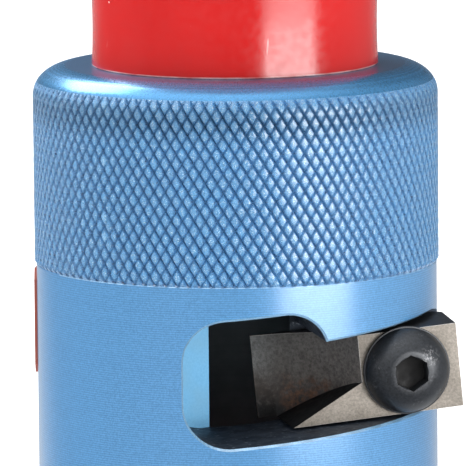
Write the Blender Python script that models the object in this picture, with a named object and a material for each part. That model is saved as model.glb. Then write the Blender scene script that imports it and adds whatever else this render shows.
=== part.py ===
"""Hand deburring tool for 14 mm pipe ends: aluminium head with a side cutter and a
spring-loaded inside reamer, driven by a plastic handle through a one-way roller clutch.

Frame: +Z up along the tool's axis, origin at the middle of the bottom face, -Y out of
the chip window. All sizes below are millimetres; meshes are built in metres.
"""

import bmesh
import bpy
from math import acos, asin, cos, pi, radians, sin, sqrt
from mathutils import Matrix, Vector

MM = 0.001

# Driving dimensions
PIPE_R = 7.0             # the pipe that the tool is made for, 14 mm outside
BODY_R = 24.0            # plain part of the head
KNURL_R = 24.25          # crests of the knurled band
BODY_Z0, BODY_Z1 = 3.1, 76.0
KNURL_Z0 = 52.3
SHOULDER_R, SHOULDER_H = 4.2, 3.5  # width and height of the rounding above the knurl
BORE_R = 8.42            # clearance bore behind the chip window
FACE_GAP = 0.1           # between faces that touch
FIT = 0.1                # radial play of pressed and screwed parts

# Guide bush
BUSH_R, BUSH_Z1 = 11.0, 27.0
FLANGE_R, FLANGE_H = 17.1, 3.0
BUSH_BORE_R = PIPE_R + 0.1
SET_SCREW_R = 2.5
BUSH_SCREW_Z = 15.0

# Cutter and its pocket, in a frame tilted about Y so that the tool feeds itself
HELIX = radians(5.2)
POCKET_Z = 39.3          # height of the tilted frame's origin on the axis
SEAT_Y = -6.8            # flat that the blade lies on
BLADE = 10.0             # square bar
BLADE_U0, BLADE_U1 = 0.4, 23.4
BLADE_TAIL = 0.45        # the bar's right end leans out by this much at the back
BLADE_S0 = -5.25
SLOT_HALF = 5.6
SLOT_END = (23.2, 4.95)  # the slot's upper wall comes down to here at its open end
WINDOW_X0 = -11.0        # upright left wall of the window, on the untilted axes
WINDOW_U1 = 6.45
WINDOW_TOP = 9.45
WINDOW_CORNER = 5.0
RELIEF_U = 11.4          # where the hollow grinding starts
RELIEF_LOW = (2.6, -5.25)  # where its lower edge leaves the bar
RELIEF_KNEE_S = -0.85
GRIND_R = 14.0
TIP = 0.35               # thickness left at the cutting edge
SCREW_U, SCREW_S = 16.8, 0.0
SCREW_R = 3.0            # M6
SCREW_LENGTH = 20.0
HEAD_R, HEAD_H, HEAD_RIM = 5.25, 3.3, 0.6
SOCKET_AF = 3.8

# Inside reamer and its spring
REAMER_R, REAMER_Z0, REAMER_SEAT, REAMER_Z1 = 9.35, 49.5, 55.0, 61.5
REAMER_CHAMBER_R = 9.5
STEM_R, STEM_Z1 = 2.2, 74.0
KEY_Z, KEY_R, KEY_DEPTH = 60.2, 1.4, 2.2
SPRING_R, SPRING_WIRE_R, SPRING_TURNS = 3.3, 0.5, 8
SPINDLE_BORE_R, SPINDLE_BORE_Z1 = 4.2, 82.0

# Spindle, clutch and handle
FOOT_R, FOOT_Z0 = 9.95, 66.0
SPINDLE_LOCK_Z = 71.0
SHAFT_R, SHAFT_Z1 = 6.0, 140.0
THRUST_R, THRUST_Z1 = 14.0, 77.6
CORE_R, CORE_Z0, CORE_Z1 = 13.0, 77.8, 135.0
BEARING_R = 9.0
CLUTCH_Z0, CLUTCH_Z1 = 79.0, 95.0
ROLLERS, ROLLER_R, ROLLER_PITCH_R = 8, 0.95, 7.1
BUSHING_Z0, BUSHING_Z1 = 118.0, 132.0
WASHER_Z1 = 136.4
CIRCLIP_Z0, CIRCLIP_Z1 = 136.6, 137.8
GRIP_Z1 = 158.0
GRIP_FLUTES, FLUTE_R, FLUTE_OFFSET = 12, 3.0, 21.3
FLUTE_Z0, FLUTE_Z1 = 92.0, 150.0
PIN_Z, PIN_R = 128.0, 1.5
CAP_Z1 = 167.0

# Size label on the plain part of the head
LABEL_Z0, LABEL_Z1 = 38.7, 51.3
LABEL_T = 0.3
LABEL_A0, LABEL_A1 = radians(100), radians(169)

ROUND = 40               # sides of a large turned part
MEDIUM = 28              # sides of a shaft, ring or bush
SMALL = 12               # sides of a small hole or screw


def material(name, colour, roughness, metallic):
    """A plain Principled material."""
    made = bpy.data.materials.new(name)
    made.use_nodes = True
    shader = made.node_tree.nodes["Principled BSDF"]
    shader.inputs["Base Color"].default_value = (*colour, 1)
    shader.inputs["Roughness"].default_value = roughness
    shader.inputs["Metallic"].default_value = metallic
    return made


def add_turned(bm, profile, sides=ROUND, place=Matrix.Identity(4)):
    """Spins a closed outline of (radius, height) pairs about Z into bm."""
    points = [bm.verts.new(Vector((r, 0, z)) * MM) for r, z in profile]
    edges = [
        bm.edges.new((a, b))
        for a, b in zip(points, points[1:] + points[:1])
        if a.co.x > 0 or b.co.x > 0
    ]
    geometry = points + edges
    bmesh.ops.spin(bm, geom=geometry, cent=(0, 0, 0), axis=(0, 0, 1), angle=2 * pi,
                   steps=sides, use_merge=True)
    island = [v for v in bm.verts if v.tag is False]
    bmesh.ops.remove_doubles(bm, verts=island, dist=1e-6)
    island = [v for v in bm.verts if v.tag is False]
    bmesh.ops.transform(bm, matrix=place, verts=island)
    for v in island:
        v.tag = True


def add_prism(bm, outline, low, high, place=Matrix.Identity(4)):
    """Extrudes an outline of (x, y) pairs from z = low to z = high into bm."""
    face = bm.faces.new([bm.verts.new(Vector((x, y, low)) * MM) for x, y in outline])
    out = bmesh.ops.extrude_face_region(bm, geom=[face])
    top = [g for g in out["geom"] if isinstance(g, bmesh.types.BMVert)]
    bmesh.ops.translate(bm, vec=(0, 0, (high - low) * MM), verts=top)
    new = [v for v in bm.verts if v.tag is False]
    bmesh.ops.transform(bm, matrix=place, verts=new)
    for v in new:
        v.tag = True


def part(name, bm, finish, parent=None, smooth=35):
    """Makes bm the mesh of a new named object."""
    bmesh.ops.recalc_face_normals(bm, faces=bm.faces)
    mesh = bpy.data.meshes.new(name)
    bm.to_mesh(mesh)
    bm.free()
    mesh.shade_smooth()
    mesh.set_sharp_from_angle(angle=radians(smooth))
    made = bpy.data.objects.new(name, mesh)
    bpy.context.scene.collection.objects.link(made)
    if finish:
        mesh.materials.append(finish)
    made.parent = parent
    return made


def boolean(target, bm, label, operation="DIFFERENCE", parent=None):
    """Adds a Boolean of bm to target, with a hidden wireframe cutter."""
    cutter = part(f"cutter_{label}", bm, None, parent)
    cutter.hide_render = True
    cutter.display_type = "WIRE"
    step = target.modifiers.new(label, "BOOLEAN")
    step.operation = operation
    step.object = cutter
    return cutter


def turned(name, profile, finish, sides=ROUND, parent=None):
    """One turned part about the tool's axis."""
    bm = bmesh.new()
    add_turned(bm, profile, sides)
    return part(name, bm, finish, parent)


def tube(inner, outer, low, high):
    """The outline of a plain ring."""
    return [(inner, low), (outer, low), (outer, high), (inner, high)]


def arc(centre, radius, start, end, steps):
    """Points on a circle between two angles, both ends included."""
    angles = [start + (end - start) * i / steps for i in range(steps + 1)]
    return [(centre[0] + radius * cos(a), centre[1] + radius * sin(a)) for a in angles]


def hexagon(across_flats):
    return arc((0, 0), across_flats / sqrt(3), 0, 2 * pi * 5 / 6, 5)


def radial(angle, height):
    """A frame on the axis at that height whose +Z points outwards at that angle."""
    turn = Matrix.Rotation(angle, 4, "Z") @ Matrix.Rotation(pi / 2, 4, "Y")
    return Matrix.Translation((0, 0, height * MM)) @ turn


def body_profile():
    """Outline of the head: outside from the bottom up, then the stepped bore down."""
    chamfer = 1.0
    shoulder = [(KNURL_R - SHOULDER_R * (1 - cos(t)), BODY_Z1 - SHOULDER_H * (1 - sin(t)))
                for t in [pi / 2 * i / 7 for i in range(8)]]
    return [
        (BUSH_R + FIT, BODY_Z0),
        (BODY_R - chamfer, BODY_Z0),
        (BODY_R, BODY_Z0 + chamfer),
        (BODY_R, KNURL_Z0),
        (KNURL_R, KNURL_Z0 + KNURL_R - BODY_R),
        *shoulder,
        (FOOT_R + FIT, BODY_Z1),
        (FOOT_R + FIT, FOOT_Z0),
        (REAMER_CHAMBER_R, FOOT_Z0),
        (REAMER_CHAMBER_R, REAMER_SEAT - FACE_GAP),
        (BORE_R, REAMER_SEAT - FACE_GAP),
        (BORE_R, BUSH_Z1 + FACE_GAP),
        (BUSH_R + FIT, BUSH_Z1 + FACE_GAP),
    ]


def pocket_outline():
    """The chip window and the blade slot as one outline, in the tilted frame."""
    r = WINDOW_CORNER
    low, high = -SLOT_HALF, WINDOW_TOP
    right = WINDOW_U1 - r
    left_low, left_high = [
        ((WINDOW_X0 + r + s * sin(HELIX)) / cos(HELIX), s) for s in (low + r, high - r)]
    upright = pi - HELIX
    meets_slot = asin((SLOT_HALF - (high - r)) / r)
    open_end = 2 * BODY_R
    return [
        (left_low[0], low),
        (open_end, low),
        (open_end, SLOT_END[1]),
        SLOT_END,
        (SLOT_END[0] - 1.4, SLOT_HALF),
        *arc((right, high - r), r, meets_slot, pi / 2, 7),
        *arc(left_high, r, pi / 2, upright, 8),
        *arc(left_low, r, upright, 1.5 * pi, 8)[:-1],
    ]


# Frame of the tilted pocket: +Z comes out of the window, X runs along the blade.
FACING_OUT = Matrix.Rotation(pi / 2, 4, "X")


def blade_frame():
    frame = bpy.data.objects.new("blade_frame", None)
    bpy.context.scene.collection.objects.link(frame)
    frame.location = (0, 0, POCKET_Z * MM)
    frame.rotation_euler = (0, -HELIX, 0)
    return frame


def make_body(finish, frame):
    body = turned("body", body_profile(), finish)
    pocket = bmesh.new()
    add_prism(pocket, pocket_outline(), -SEAT_Y, 2 * BODY_R, FACING_OUT)
    boolean(body, pocket, "pocket", parent=frame)
    tapped = bmesh.new()
    depth = SCREW_LENGTH - BLADE + 2
    screw_line = Matrix.Translation(Vector((SCREW_U, 0, SCREW_S)) * MM) @ FACING_OUT
    add_turned(tapped, [(0, -SEAT_Y - depth), (SCREW_R + FIT, -SEAT_Y - depth),
                        (SCREW_R + FIT, -SEAT_Y + 1), (0, -SEAT_Y + 1)], SMALL, screw_line)
    boolean(body, tapped, "blade_thread", parent=frame)
    holes = bmesh.new()
    for angle, height, inner in set_screw_places():
        add_turned(holes, [(0, inner - 1), (SET_SCREW_R + FIT, inner - 1),
                           (SET_SCREW_R + FIT, 2 * BODY_R), (0, 2 * BODY_R)],
                   SMALL, radial(angle, height))
    boolean(body, holes, "set_screw_holes")
    return body


def set_screw_places():
    """(angle, height, radius of the inner end of the hole) of every radial screw."""
    bush = [(radians(a), BUSH_SCREW_Z, BUSH_R + FIT) for a in (90, 210, 330)]
    lock = [(radians(a), SPINDLE_LOCK_Z, FOOT_R + FIT) for a in (30, 150)]
    key = [(radians(90), KEY_Z, REAMER_CHAMBER_R)]
    return bush + lock + key


def make_set_screw(name, place, inner, length, finish, dog=0.0):
    """Socket set screw at one place; dog is the length of a thinner tip."""
    angle, height, _ = place
    out = radial(angle, height)
    r = SET_SCREW_R
    end = inner + length
    tip = [(0, inner - dog), (KEY_R, inner - dog), (KEY_R, inner)] if dog else [(0, inner)]
    bm = bmesh.new()
    add_turned(bm, [*tip, (r - 0.4, inner), (r, inner + 0.4), (r, end - 0.3),
                    (r - 0.3, end), (0, end)], SMALL, out)
    screw = part(name, bm, finish)
    socket = bmesh.new()
    add_prism(socket, hexagon(SET_SCREW_R), end - 2.5, end + 1, out)
    boolean(screw, socket, f"{name}_socket")


def make_guide_bush(finish):
    edge, lead = 0.8, 2.6
    return turned("guide_bush", [
        (BUSH_BORE_R + lead, 0), (FLANGE_R - edge, 0), (FLANGE_R, edge),
        (FLANGE_R, FLANGE_H), (BUSH_R, FLANGE_H), (BUSH_R, BUSH_Z1 - edge),
        (BUSH_R - edge, BUSH_Z1), (BUSH_BORE_R, BUSH_Z1), (BUSH_BORE_R, lead * 1.6),
    ], finish)


def make_blade(finish, frame):
    """Square bar, hollow ground from the front so that its left end is a sharp edge."""
    back, front = -SEAT_Y + FACE_GAP, -SEAT_Y + FACE_GAP + BLADE
    low, high = BLADE_S0, BLADE_S0 + BLADE
    corner = 1.6
    bm = bmesh.new()
    # Seen from above: u to the right, distance out of the window downwards.
    tail = (BLADE_U1 + BLADE_TAIL - corner, back + corner)
    outline = [(BLADE_U0, back), *arc(tail, corner, -pi / 2, 0, 5), (BLADE_U1, front),
               (BLADE_U0, front)]
    lying = Matrix.Scale(-1, 4, (0, 1, 0))
    add_prism(bm, outline, low, high, lying)
    blade = part("cutter_blade", bm, finish, frame)

    start, end = (RELIEF_U, front), (BLADE_U0, back + TIP)
    chord = Vector(end) - Vector(start)
    middle = (Vector(start) + Vector(end)) / 2
    rise = sqrt(GRIND_R ** 2 - (chord.length / 2) ** 2)
    side = Vector((chord.y, -chord.x)).normalized()
    centre = middle + side * rise * (1 if side.y > 0 else -1)
    a0 = Vector((start[0] - centre.x, start[1] - centre.y))
    a1 = Vector((end[0] - centre.x, end[1] - centre.y))
    sweep = acos(a0.dot(a1) / GRIND_R ** 2)
    first = -acos(a0.x / GRIND_R)
    wheel = arc(centre, GRIND_R, first, first - sweep, 12)
    reach = front + 5
    ground = bmesh.new()
    add_prism(ground, [*wheel, (BLADE_U0 - 3, wheel[-1][1]), (BLADE_U0 - 3, reach),
                       (RELIEF_U, reach)], low - 2, high + 2, lying)
    wheel_cut = boolean(blade, ground, "hollow_grind", parent=frame)
    slope = (RELIEF_KNEE_S - RELIEF_LOW[1]) / (RELIEF_U - RELIEF_LOW[0])
    far_u = BLADE_U0 - 5
    land = bmesh.new()
    add_prism(land, [(far_u, high + 4), (far_u, RELIEF_KNEE_S - slope * (RELIEF_U - far_u)),
                     (RELIEF_U, RELIEF_KNEE_S), (RELIEF_U + 2, RELIEF_KNEE_S + slope * 2),
                     (RELIEF_U + 2, high + 4)], 0, 2 * BODY_R, FACING_OUT)
    boolean(wheel_cut, land, "land_limit", "INTERSECT", parent=frame)
    hole = bmesh.new()
    add_turned(hole, [(0, back - 1), (SCREW_R + 3 * FIT, back - 1),
                      (SCREW_R + 3 * FIT, front + 1), (0, front + 1)], SMALL,
               Matrix.Translation(Vector((SCREW_U, 0, SCREW_S)) * MM) @ FACING_OUT)
    boolean(blade, hole, "blade_hole", parent=frame)
    return blade


def make_blade_screw(finish, frame):
    """Button head socket screw; its seat is at z = 0 of its own frame."""
    seat = -SEAT_Y + 2 * FACE_GAP + BLADE
    flat = 0.55 * HEAD_R
    top = HEAD_H - HEAD_RIM
    dome = [(flat + (HEAD_R - flat) * cos(t), HEAD_RIM + top * sin(t))
            for t in [pi / 2 * i / 6 for i in range(7)]]
    place = Matrix.Translation(Vector((SCREW_U, -seat, SCREW_S)) * MM) @ FACING_OUT
    bm = bmesh.new()
    add_turned(bm, [(0, -SCREW_LENGTH), (SCREW_R - 0.7, -SCREW_LENGTH),
                    (SCREW_R, 0.7 - SCREW_LENGTH), (SCREW_R, 0), (HEAD_R - 0.15, 0),
                    *dome, (0, HEAD_H)], MEDIUM, place)
    screw = part("blade_screw", bm, finish, frame)
    socket = bmesh.new()
    add_prism(socket, hexagon(SOCKET_AF), HEAD_H - 2.1, HEAD_H + 1,
              place @ Matrix.Rotation(radians(29), 4, "Z"))
    boolean(screw, socket, "blade_screw_socket", parent=frame)
    return screw


def make_reamer(finish):
    """Cone that deburrs the pipe's inside, on a keyed slug with a spring stem."""
    nose_r, cone_r = 2.0, BORE_R - 0.35
    reamer = turned("cone_reamer", [
        (0, REAMER_Z0), (nose_r, REAMER_Z0), (cone_r, REAMER_SEAT - 0.4),
        (cone_r, REAMER_SEAT), (REAMER_R, REAMER_SEAT), (REAMER_R, REAMER_Z1),
        (STEM_R, REAMER_Z1), (STEM_R, STEM_Z1), (0, STEM_Z1)], finish, MEDIUM)
    cuts = bmesh.new()
    flutes = 5
    for i in range(flutes):
        turn = Matrix.Rotation(2 * pi * i / flutes, 4, "Z")
        lean = Matrix.Rotation(radians(-42), 4, "Y")
        at = Matrix.Translation(Vector((5.6, 0, REAMER_Z0 + 2.6)) * MM)
        add_prism(cuts, [(-1.2, 0), (1.8, 0), (1.8, 3.2), (-1.2, 3.2)], -8, 8,
                  turn @ at @ lean @ Matrix.Rotation(pi, 4, "Z"))
    boolean(reamer, cuts, "reamer_flutes")
    key = bmesh.new()
    half = KEY_R + 0.3
    add_prism(key, [(-half, REAMER_R - KEY_DEPTH), (half, REAMER_R - KEY_DEPTH),
                    (half, 2 * REAMER_R), (-half, 2 * REAMER_R)], REAMER_SEAT - 1, REAMER_Z1 + 1)
    boolean(reamer, key, "reamer_keyway")
    return reamer


def make_spring(finish):
    """Compression spring between the reamer and the end of the spindle's bore."""
    low = REAMER_Z1 + SPRING_WIRE_R + FACE_GAP
    high = SPINDLE_BORE_Z1 - SPRING_WIRE_R - FACE_GAP
    steps = SPRING_TURNS * 12
    curve = bpy.data.curves.new("reamer_spring", "CURVE")
    curve.dimensions = "3D"
    curve.bevel_depth = SPRING_WIRE_R * MM
    curve.bevel_resolution = 0
    curve.use_fill_caps = True
    line = curve.splines.new("POLY")
    line.points.add(steps)
    for i, point in enumerate(line.points):
        share = i / steps
        turn = 2 * pi * SPRING_TURNS * share
        point.co = (SPRING_R * cos(turn) * MM, SPRING_R * sin(turn) * MM,
                    (low + (high - low) * share) * MM, 1)
    curve.materials.append(finish)
    spring = bpy.data.objects.new("reamer_spring", curve)
    bpy.context.scene.collection.objects.link(spring)


def make_spindle(finish):
    groove = 0.7
    spindle = turned("spindle", [
        (SPINDLE_BORE_R, FOOT_Z0 + FACE_GAP), (FOOT_R - 0.6, FOOT_Z0 + FACE_GAP),
        (FOOT_R, FOOT_Z0 + 0.7), (FOOT_R, BODY_Z1 - FACE_GAP), (SHAFT_R, BODY_Z1 - FACE_GAP),
        (SHAFT_R, CIRCLIP_Z0 - 0.1), (SHAFT_R - groove, CIRCLIP_Z0 - 0.1),
        (SHAFT_R - groove, CIRCLIP_Z1 + 0.1), (SHAFT_R, CIRCLIP_Z1 + 0.1),
        (SHAFT_R, SHAFT_Z1 - 0.6), (SHAFT_R - 0.6, SHAFT_Z1), (0, SHAFT_Z1),
        (0, SPINDLE_BORE_Z1), (SPINDLE_BORE_R, SPINDLE_BORE_Z1)], finish, MEDIUM)
    return spindle


def make_clutch(cup_finish, cage_finish, roller_finish):
    """Drawn-cup one-way clutch: cup with turned-in lips, cage with pockets, rollers."""
    wall, lip = 0.7, 0.8
    inner = BEARING_R - wall
    turned("clutch_cup", [
        (SHAFT_R + 0.3, CLUTCH_Z0), (BEARING_R, CLUTCH_Z0), (BEARING_R, CLUTCH_Z1),
        (SHAFT_R + 0.3, CLUTCH_Z1), (SHAFT_R + 0.3, CLUTCH_Z1 - lip),
        (inner, CLUTCH_Z1 - lip), (inner, CLUTCH_Z0 + lip),
        (SHAFT_R + 0.3, CLUTCH_Z0 + lip)], cup_finish, MEDIUM)
    low, high = CLUTCH_Z0 + lip + 0.2, CLUTCH_Z1 - lip - 0.2
    cage = turned("clutch_cage", tube(SHAFT_R + 0.3, inner - 0.3, low, high), cage_finish, MEDIUM)
    pockets = bmesh.new()
    half = ROLLER_R + 0.15
    for i in range(ROLLERS):
        turn = Matrix.Rotation(2 * pi * i / ROLLERS, 4, "Z")
        add_prism(pockets, [(4, -half), (10, -half), (10, half), (4, half)],
                  low + 1.2, high - 1.2, turn)
        roller = bmesh.new()
        add_turned(roller, tube(0, ROLLER_R, low + 1.4, high - 1.4), 12,
                   turn @ Matrix.Translation(Vector((ROLLER_PITCH_R, 0, 0)) * MM))
        part(f"clutch_roller_{i + 1}", roller, roller_finish)
    boolean(cage, pockets, "clutch_pockets")


def make_core(finish):
    """Aluminium carrier inside the handle that holds the clutch and the bush."""
    seat = BEARING_R + 0.05
    relief = 7.0
    core = turned("handle_core", [
        (seat, CORE_Z0), (CORE_R, CORE_Z0), (CORE_R, CORE_Z1), (seat, CORE_Z1),
        (seat, BUSHING_Z0 - FACE_GAP), (relief, BUSHING_Z0 - FACE_GAP),
        (relief, CLUTCH_Z1 + FACE_GAP), (seat, CLUTCH_Z1 + FACE_GAP)], finish)
    pins = bmesh.new()
    for angle in (0, pi):
        add_turned(pins, [(0, BEARING_R + 2), (PIN_R + 0.05, BEARING_R + 2),
                          (PIN_R + 0.05, CORE_R + 2), (0, CORE_R + 2)], SMALL,
                   radial(angle, PIN_Z))
    boolean(core, pins, "core_pin_holes")
    return core


def grip_radius(z):
    """Outside radius of the grip at height z above its step."""
    share = (z - (BODY_Z1 + 9)) / (GRIP_Z1 - BODY_Z1 - 9)
    return 17.35 + 2.0 * sin(pi * share ** 0.8) + 0.9 * share


def make_grip(finish):
    """Plastic handle: waisted collar on the head, then a swelling fluted grip."""
    base = BODY_Z1 + FACE_GAP
    collar = [(17.12 - 0.12 * sin(pi * i / 6), base + 8.8 * i / 6) for i in range(7)]
    swell = [(grip_radius(z), z) for z in
             [BODY_Z1 + 9 + (GRIP_Z1 - BODY_Z1 - 9) * i / 12 for i in range(13)]]
    recess = THRUST_R + 0.3
    bore = CORE_R + 0.05
    grip = turned("handle_grip", [
        (recess, base), *collar, *swell, (bore, GRIP_Z1),
        (bore, CORE_Z0 - FACE_GAP), (recess, CORE_Z0 - FACE_GAP)], finish)
    cuts = bmesh.new()
    for i in range(GRIP_FLUTES):
        angle = 2 * pi * (i + 0.5) / GRIP_FLUTES
        at = Matrix.Rotation(angle, 4, "Z") @ Matrix.Translation((FLUTE_OFFSET * MM, 0, 0))
        add_turned(cuts, [(0, FLUTE_Z0), *arc((0, FLUTE_Z0 + FLUTE_R), FLUTE_R, -pi / 3, 0, 3),
                          *arc((0, FLUTE_Z1 - FLUTE_R), FLUTE_R, 0, pi / 3, 3), (0, FLUTE_Z1)],
                   SMALL, at)
    boolean(grip, cuts, "grip_flutes")
    pins = bmesh.new()
    for angle in (0, pi):
        add_turned(pins, [(0, CORE_R - 2), (PIN_R + 0.05, CORE_R - 2),
                          (PIN_R + 0.05, 2 * CORE_R), (0, 2 * CORE_R)], SMALL,
                   radial(angle, PIN_Z))
    boolean(grip, pins, "grip_pin_holes")
    return grip


def make_handle_pins(finish):
    for i, angle in enumerate((0, pi)):
        bm = bmesh.new()
        add_turned(bm, tube(0, PIN_R, BEARING_R + 2.2, 18.4), SMALL, radial(angle, PIN_Z))
        part(f"handle_pin_{i + 1}", bm, finish)


def make_end_cap(cap_finish, ring_finish):
    """Domed plug in the top of the grip, sealed by an O-ring in a groove."""
    rim = grip_radius(GRIP_Z1)
    low = GRIP_Z1 + FACE_GAP
    spigot_r, spigot_z0 = CORE_R - 0.05, GRIP_Z1 - 9
    groove_z, groove_r, ring_r = GRIP_Z1 - 5, 11.6, 0.65
    height = CAP_Z1 - low - 2.5
    dome = [(rim * cos(t), low + 2.5 + height * sin(t))
            for t in [pi / 2 * i / 7 for i in range(8)]][:-1]
    turned("end_cap", [
        (0, spigot_z0), (spigot_r - 0.8, spigot_z0), (spigot_r, spigot_z0 + 0.8),
        (spigot_r, groove_z - 0.8), (groove_r, groove_z - 0.8), (groove_r, groove_z + 0.8),
        (spigot_r, groove_z + 0.8), (spigot_r, low), (rim, low), *dome, (0, CAP_Z1)], cap_finish)
    turned("end_cap_o_ring",
           arc((groove_r + 0.05 + ring_r, groove_z), ring_r, 0, 2 * pi * 7 / 8, 7), ring_finish, MEDIUM)


def make_circlip(finish):
    """External retaining ring with its gap towards +X."""
    outer, inner = 8.6, SHAFT_R - 0.6
    clip = turned("circlip", tube(inner, outer, CIRCLIP_Z0, CIRCLIP_Z1), finish, MEDIUM)
    gap = bmesh.new()
    add_prism(gap, [(0, -1.6), (12, -1.6), (12, 1.6), (0, 1.6)],
              CIRCLIP_Z0 - 1, CIRCLIP_Z1 + 1)
    boolean(clip, gap, "circlip_gap")


def make_label(finish):
    """Thin curved badge with rounded corners on the left of the head."""
    inner = BODY_R + 0.03
    steps, corner = 20, 1.2
    span = (LABEL_A1 - LABEL_A0) * inner
    bm = bmesh.new()
    columns = []
    for i in range(steps + 1):
        along = span * i / steps
        edge = min(along, span - along)
        inset = corner - sqrt(corner ** 2 - max(corner - edge, 0) ** 2)
        angle = LABEL_A0 + along / inner
        columns.append([
            bm.verts.new(Vector((r * cos(angle), r * sin(angle), z)) * MM)
            for r, z in ((inner, LABEL_Z0 + inset), (inner + LABEL_T, LABEL_Z0 + inset),
                         (inner + LABEL_T, LABEL_Z1 - inset), (inner, LABEL_Z1 - inset))])
    for a, b in zip(columns, columns[1:]):
        for k in range(4):
            bm.faces.new((a[k], a[(k + 1) % 4], b[(k + 1) % 4], b[k]))
    bm.faces.new(columns[0])
    bm.faces.new(columns[-1])
    part("size_label", bm, finish)


def main():
    for old in list(bpy.data.objects):
        bpy.data.objects.remove(old)
    blue = material("anodised_blue", (0.10, 0.33, 0.66), 0.35, 0.9)
    red = material("red_plastic", (0.72, 0.03, 0.025), 0.35, 0.0)
    tool_steel = material("tool_steel", (0.30, 0.26, 0.23), 0.4, 1.0)
    black_steel = material("black_steel", (0.03, 0.03, 0.035), 0.45, 0.8)
    steel = material("bright_steel", (0.6, 0.6, 0.6), 0.3, 1.0)
    bronze = material("bronze", (0.55, 0.36, 0.16), 0.4, 1.0)
    aluminium = material("aluminium", (0.75, 0.75, 0.76), 0.4, 1.0)
    rubber = material("rubber", (0.02, 0.02, 0.02), 0.8, 0.0)
    label_red = material("label_red", (0.45, 0.08, 0.04), 0.5, 0.0)

    frame = blade_frame()
    make_body(blue, frame)
    make_blade(tool_steel, frame)
    make_blade_screw(black_steel, frame)
    make_guide_bush(red)
    places = set_screw_places()
    for i, place in enumerate(places[:3]):
        make_set_screw(f"bush_set_screw_{i + 1}", place, BUSH_R + 0.2, 10, black_steel)
    for i, place in enumerate(places[3:5]):
        make_set_screw(f"spindle_set_screw_{i + 1}", place, FOOT_R + 0.2, 10, black_steel)
    make_set_screw("reamer_key_screw", places[5], REAMER_R + 0.3, 12, black_steel, dog=1.6)
    make_reamer(steel)
    make_spring(steel)
    make_spindle(steel)
    turned("thrust_washer", tube(SHAFT_R + 0.2, THRUST_R, BODY_Z1 + FACE_GAP, THRUST_Z1),
           bronze, MEDIUM)
    make_clutch(steel, bronze, steel)
    turned("upper_bush", tube(SHAFT_R + 0.1, BEARING_R, BUSHING_Z0, BUSHING_Z1), bronze, MEDIUM)
    make_core(aluminium)
    turned("spindle_washer", tube(SHAFT_R + 0.2, 11.5, CORE_Z1 + FACE_GAP, WASHER_Z1), steel, MEDIUM)
    make_circlip(steel)
    make_grip(red)
    make_handle_pins(steel)
    make_end_cap(red, rubber)
    make_label(label_red)


main()
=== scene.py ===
"""Looks of the pipe deburring tool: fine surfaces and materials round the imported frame.

Lengths are millimetres unless a name says otherwise; meshes are built in metres.
+Z is the tool's axis and the origin is the middle of its bottom face.
"""

from math import asin, atan2, cos, floor, pi, radians, sin, sqrt
from random import Random

import bmesh
import bpy
from mathutils import Matrix, Vector


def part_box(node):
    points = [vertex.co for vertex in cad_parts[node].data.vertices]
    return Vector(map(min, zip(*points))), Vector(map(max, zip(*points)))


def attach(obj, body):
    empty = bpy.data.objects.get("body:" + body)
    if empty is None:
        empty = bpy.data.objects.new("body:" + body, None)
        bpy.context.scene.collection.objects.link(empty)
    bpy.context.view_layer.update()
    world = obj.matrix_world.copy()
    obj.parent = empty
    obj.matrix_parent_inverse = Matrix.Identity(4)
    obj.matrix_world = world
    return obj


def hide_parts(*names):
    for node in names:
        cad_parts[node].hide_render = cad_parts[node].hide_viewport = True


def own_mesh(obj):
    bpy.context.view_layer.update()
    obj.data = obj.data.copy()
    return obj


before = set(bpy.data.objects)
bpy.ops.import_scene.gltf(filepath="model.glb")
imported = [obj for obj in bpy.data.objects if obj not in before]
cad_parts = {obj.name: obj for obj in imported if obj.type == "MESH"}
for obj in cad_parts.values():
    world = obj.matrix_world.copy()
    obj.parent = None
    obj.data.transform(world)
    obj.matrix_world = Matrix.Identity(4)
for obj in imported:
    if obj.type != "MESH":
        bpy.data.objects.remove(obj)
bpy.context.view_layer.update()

MM = 0.001


def node_size(name):
    """Lowest and highest corner of a CAD node in millimetres."""
    low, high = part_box(name)
    return low / MM, high / MM


BODY_LOW, BODY_HIGH = node_size("body")
GRIP_Z1 = node_size("handle_grip")[1].z
CAP_Z1 = node_size("end_cap")[1].z
BUSH_Z1 = node_size("guide_bush")[1].z

# The head, as in the CAD model
KNURL_R = BODY_HIGH.x
KNURL_STANDS_OUT = 0.25
BODY_R = KNURL_R - KNURL_STANDS_OUT
BODY_Z0, BODY_Z1 = BODY_LOW.z, BODY_HIGH.z
KNURL_BELOW_TOP = 23.7
KNURL_Z0 = BODY_Z1 - KNURL_BELOW_TOP
SHOULDER_R, SHOULDER_H = 4.2, 3.5
BORE_R, CHAMBER_R, CHAMBER_Z, FOOT_R, FOOT_Z = 8.42, 9.5, 54.9, 10.05, 66.0
BUSH_SEAT_R, BUSH_SEAT_Z = 11.1, 27.1
SCREW_HOLE_R = 2.6
POCKET_ABOVE = 30.0      # no part of the pocket is lower than this
# Angle from +X and height of every radial screw hole, and the radius where it ends
SCREW_HOLES = [(90, 15.0, 10.0), (210, 15.0, 10.0), (330, 15.0, 10.0),
               (30, 71.0, 9.0), (150, 71.0, 9.0), (90, 60.2, 8.5)]

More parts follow.
